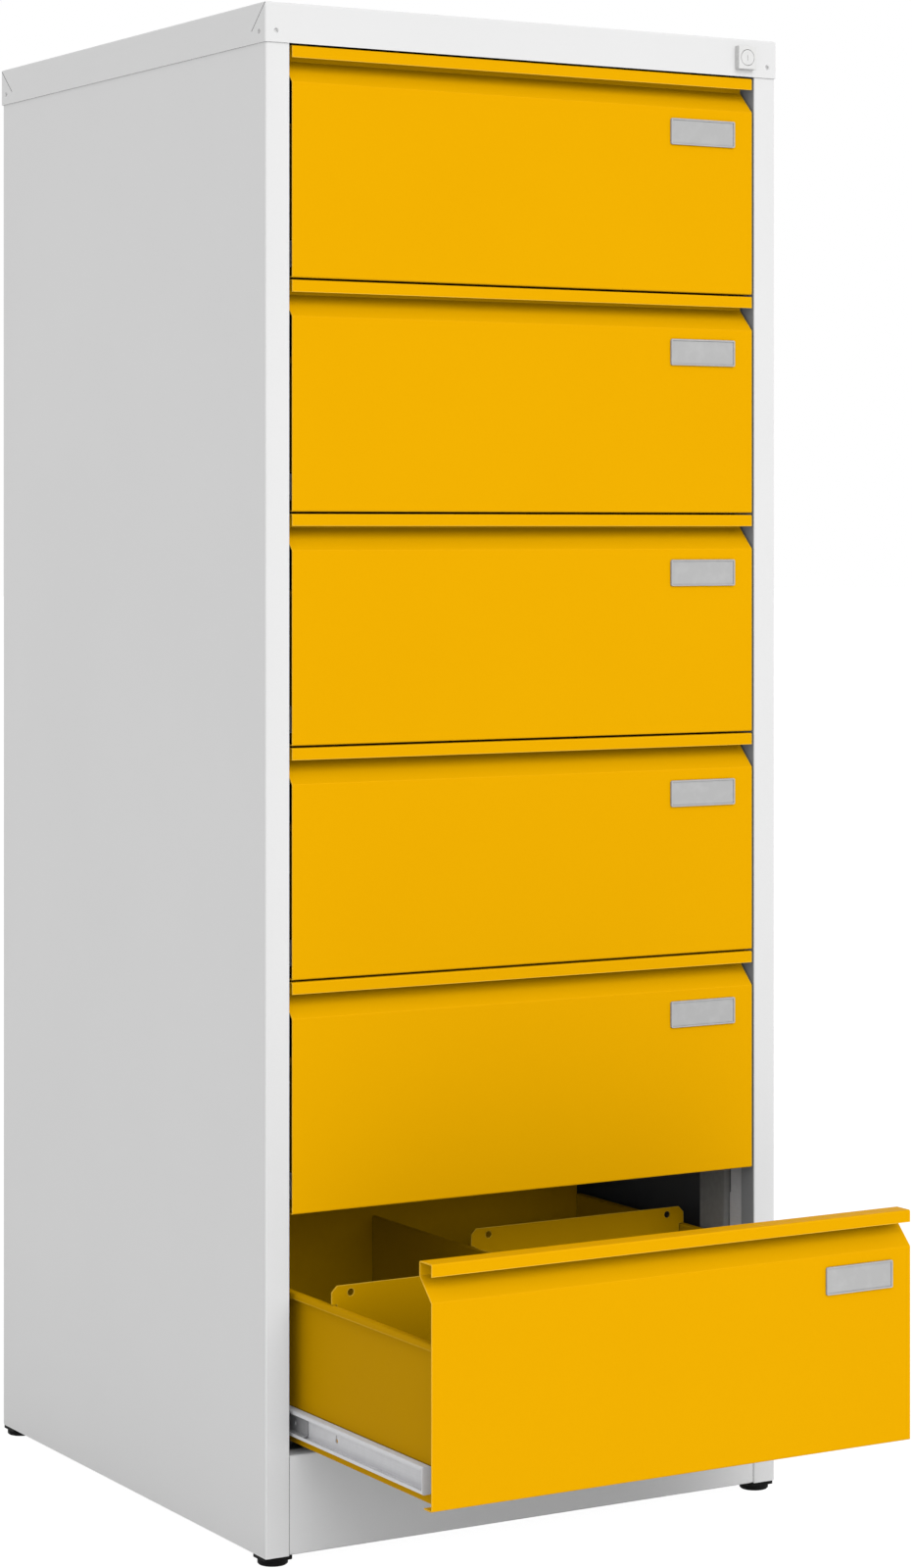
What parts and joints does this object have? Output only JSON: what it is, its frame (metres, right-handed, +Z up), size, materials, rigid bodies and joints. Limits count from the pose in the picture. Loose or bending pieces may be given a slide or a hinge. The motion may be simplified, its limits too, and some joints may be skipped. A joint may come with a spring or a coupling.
{
  "type": "card index cabinet",
  "caption": "Tall steel card index cabinet with stacked full-width drawers, each with two rows for cards, on telescopic slides under one lock.",
  "frame": {"origin": "on the floor, under the centre of the cabinet's body", "axes": "+Z up, -Y out of the front, +X to the right of a person who faces the front"},
  "size_m": [0.502, 0.7587, 1.2635],
  "materials": {
    "white_paint": "white powder coat, satin",
    "upright_paint": "grey primer, satin",
    "yellow_paint": "yellow powder coat, satin",
    "zinc_steel": "zinc plated",
    "lock_white": "white, satin",
    "label_grey": "grey with a pale rim",
    "black_plastic": "black, moulded"
  },
  "bodies": {
    "cabinet": {"left_side": "white_paint", "right_side": "white_paint", "back_panel": "white_paint", "lid": "white_paint", "plinth": "white_paint", "slide_uprights": "upright_paint", "cabinet_runners": "zinc_steel", "lock_housing": "lock_white", "feet": "black_plastic", "lid_rivets": "zinc_steel"},
    "lock_plug": {"lock_plug": "lock_white"},
    "lock_bar": {"lock_bar": "zinc_steel"},
    "drawer_1": {"drawer_front_1": "yellow_paint", "drawer_tray_1": "yellow_paint", "drawer_partition_1": "yellow_paint", "label_holder_1": "label_grey", "drawer_runners_1": "zinc_steel"},
    "middle_runners_1": {"middle_runners_1": "zinc_steel"},
    "card_support_left_1": {"card_support_left_1": "yellow_paint"},
    "card_support_right_1": {"card_support_right_1": "yellow_paint"},
    "drawer_2": {"drawer_front_2": "yellow_paint", "drawer_tray_2": "yellow_paint", "drawer_partition_2": "yellow_paint", "label_holder_2": "label_grey", "drawer_runners_2": "zinc_steel"},
    "middle_runners_2": {"middle_runners_2": "zinc_steel"},
    "card_support_left_2": {"card_support_left_2": "yellow_paint"},
    "card_support_right_2": {"card_support_right_2": "yellow_paint"},
    "drawer_3": {"drawer_front_3": "yellow_paint", "drawer_tray_3": "yellow_paint", "drawer_partition_3": "yellow_paint", "label_holder_3": "label_grey", "drawer_runners_3": "zinc_steel"},
    "middle_runners_3": {"middle_runners_3": "zinc_steel"},
    "card_support_left_3": {"card_support_left_3": "yellow_paint"},
    "card_support_right_3": {"card_support_right_3": "yellow_paint"},
    "drawer_4": {"drawer_front_4": "yellow_paint", "drawer_tray_4": "yellow_paint", "drawer_partition_4": "yellow_paint", "label_holder_4": "label_grey", "drawer_runners_4": "zinc_steel"},
    "middle_runners_4": {"middle_runners_4": "zinc_steel"},
    "card_support_left_4": {"card_support_left_4": "yellow_paint"},
    "card_support_right_4": {"card_support_right_4": "yellow_paint"},
    "drawer_5": {"drawer_front_5": "yellow_paint", "drawer_tray_5": "yellow_paint", "drawer_partition_5": "yellow_paint", "label_holder_5": "label_grey", "drawer_runners_5": "zinc_steel"},
    "middle_runners_5": {"middle_runners_5": "zinc_steel"},
    "card_support_left_5": {"card_support_left_5": "yellow_paint"},
    "card_support_right_5": {"card_support_right_5": "yellow_paint"},
    "drawer_6": {"drawer_front_6": "yellow_paint", "drawer_tray_6": "yellow_paint", "drawer_partition_6": "yellow_paint", "label_holder_6": "label_grey", "drawer_runners_6": "zinc_steel"},
    "middle_runners_6": {"middle_runners_6": "zinc_steel"},
    "card_support_left_6": {"card_support_left_6": "yellow_paint"},
    "card_support_right_6": {"card_support_right_6": "yellow_paint"}
  },
  "joints": [
    {"name": "drawer_1_slide", "type": "slide", "parent": "cabinet", "child": "drawer_1", "axis": [0, -1, 0], "range_m": [0, 0.44]},
    {"name": "middle_runners_1_slide", "type": "slide", "parent": "cabinet", "child": "middle_runners_1", "axis": [0, -1, 0], "range_m": [0, 0.22]},
    {"name": "card_support_left_1_slide", "type": "slide", "parent": "drawer_1", "child": "card_support_left_1", "axis": [0, 1, 0], "range_m": [-0.148, 0.3198]},
    {"name": "card_support_right_1_slide", "type": "slide", "parent": "drawer_1", "child": "card_support_right_1", "axis": [0, 1, 0], "range_m": [-0.302, 0.1658]},
    {"name": "drawer_2_slide", "type": "slide", "parent": "cabinet", "child": "drawer_2", "axis": [0, -1, 0], "range_m": [0, 0.44]},
    {"name": "middle_runners_2_slide", "type": "slide", "parent": "cabinet", "child": "middle_runners_2", "axis": [0, -1, 0], "range_m": [0, 0.22]},
    {"name": "card_support_left_2_slide", "type": "slide", "parent": "drawer_2", "child": "card_support_left_2", "axis": [0, 1, 0], "range_m": [-0.148, 0.3198]},
    {"name": "card_support_right_2_slide", "type": "slide", "parent": "drawer_2", "child": "card_support_right_2", "axis": [0, 1, 0], "range_m": [-0.302, 0.1658]},
    {"name": "drawer_3_slide", "type": "slide", "parent": "cabinet", "child": "drawer_3", "axis": [0, -1, 0], "range_m": [0, 0.44]},
    {"name": "middle_runners_3_slide", "type": "slide", "parent": "cabinet", "child": "middle_runners_3", "axis": [0, -1, 0], "range_m": [0, 0.22]},
    {"name": "card_support_left_3_slide", "type": "slide", "parent": "drawer_3", "child": "card_support_left_3", "axis": [0, 1, 0], "range_m": [-0.148, 0.3198]},
    {"name": "card_support_right_3_slide", "type": "slide", "parent": "drawer_3", "child": "card_support_right_3", "axis": [0, 1, 0], "range_m": [-0.302, 0.1658]},
    {"name": "drawer_4_slide", "type": "slide", "parent": "cabinet", "child": "drawer_4", "axis": [0, -1, 0], "range_m": [0, 0.44]},
    {"name": "middle_runners_4_slide", "type": "slide", "parent": "cabinet", "child": "middle_runners_4", "axis": [0, -1, 0], "range_m": [0, 0.22]},
    {"name": "card_support_left_4_slide", "type": "slide", "parent": "drawer_4", "child": "card_support_left_4", "axis": [0, 1, 0], "range_m": [-0.148, 0.3198]},
    {"name": "card_support_right_4_slide", "type": "slide", "parent": "drawer_4", "child": "card_support_right_4", "axis": [0, 1, 0], "range_m": [-0.302, 0.1658]},
    {"name": "drawer_5_slide", "type": "slide", "parent": "cabinet", "child": "drawer_5", "axis": [0, -1, 0], "range_m": [0, 0.44]},
    {"name": "middle_runners_5_slide", "type": "slide", "parent": "cabinet", "child": "middle_runners_5", "axis": [0, -1, 0], "range_m": [0, 0.22]},
    {"name": "card_support_left_5_slide", "type": "slide", "parent": "drawer_5", "child": "card_support_left_5", "axis": [0, 1, 0], "range_m": [-0.148, 0.3198]},
    {"name": "card_support_right_5_slide", "type": "slide", "parent": "drawer_5", "child": "card_support_right_5", "axis": [0, 1, 0], "range_m": [-0.302, 0.1658]},
    {"name": "drawer_6_slide", "type": "slide", "parent": "cabinet", "child": "drawer_6", "axis": [0, -1, 0], "range_m": [-0.226, 0.214]},
    {"name": "middle_runners_6_slide", "type": "slide", "parent": "cabinet", "child": "middle_runners_6", "axis": [0, -1, 0], "range_m": [-0.113, 0.107]},
    {"name": "card_support_left_6_slide", "type": "slide", "parent": "drawer_6", "child": "card_support_left_6", "axis": [0, 1, 0], "range_m": [-0.148, 0.3198]},
    {"name": "card_support_right_6_slide", "type": "slide", "parent": "drawer_6", "child": "card_support_right_6", "axis": [0, 1, 0], "range_m": [-0.302, 0.1658]},
    {"name": "lock_bar_slide", "type": "slide", "parent": "cabinet", "child": "lock_bar", "axis": [0, 0, 1], "range_m": [0, 0.0098]},
    {"name": "lock_plug_turn", "type": "hinge", "parent": "cabinet", "child": "lock_plug", "pos_m": [0.2172, -0.265, 1.247], "axis": [0, -1, 0], "range_deg": [0, 90]}
  ],
  "couplings": [
    {"joint": "middle_runners_1_slide", "follows": "drawer_1_slide", "ratio": 0.5},
    {"joint": "middle_runners_2_slide", "follows": "drawer_2_slide", "ratio": 0.5},
    {"joint": "middle_runners_3_slide", "follows": "drawer_3_slide", "ratio": 0.5},
    {"joint": "middle_runners_4_slide", "follows": "drawer_4_slide", "ratio": 0.5},
    {"joint": "middle_runners_5_slide", "follows": "drawer_5_slide", "ratio": 0.5},
    {"joint": "middle_runners_6_slide", "follows": "drawer_6_slide", "ratio": 0.5},
    {"joint": "lock_plug_turn", "follows": "lock_bar_slide", "rad_per_m": 160}
  ]
}
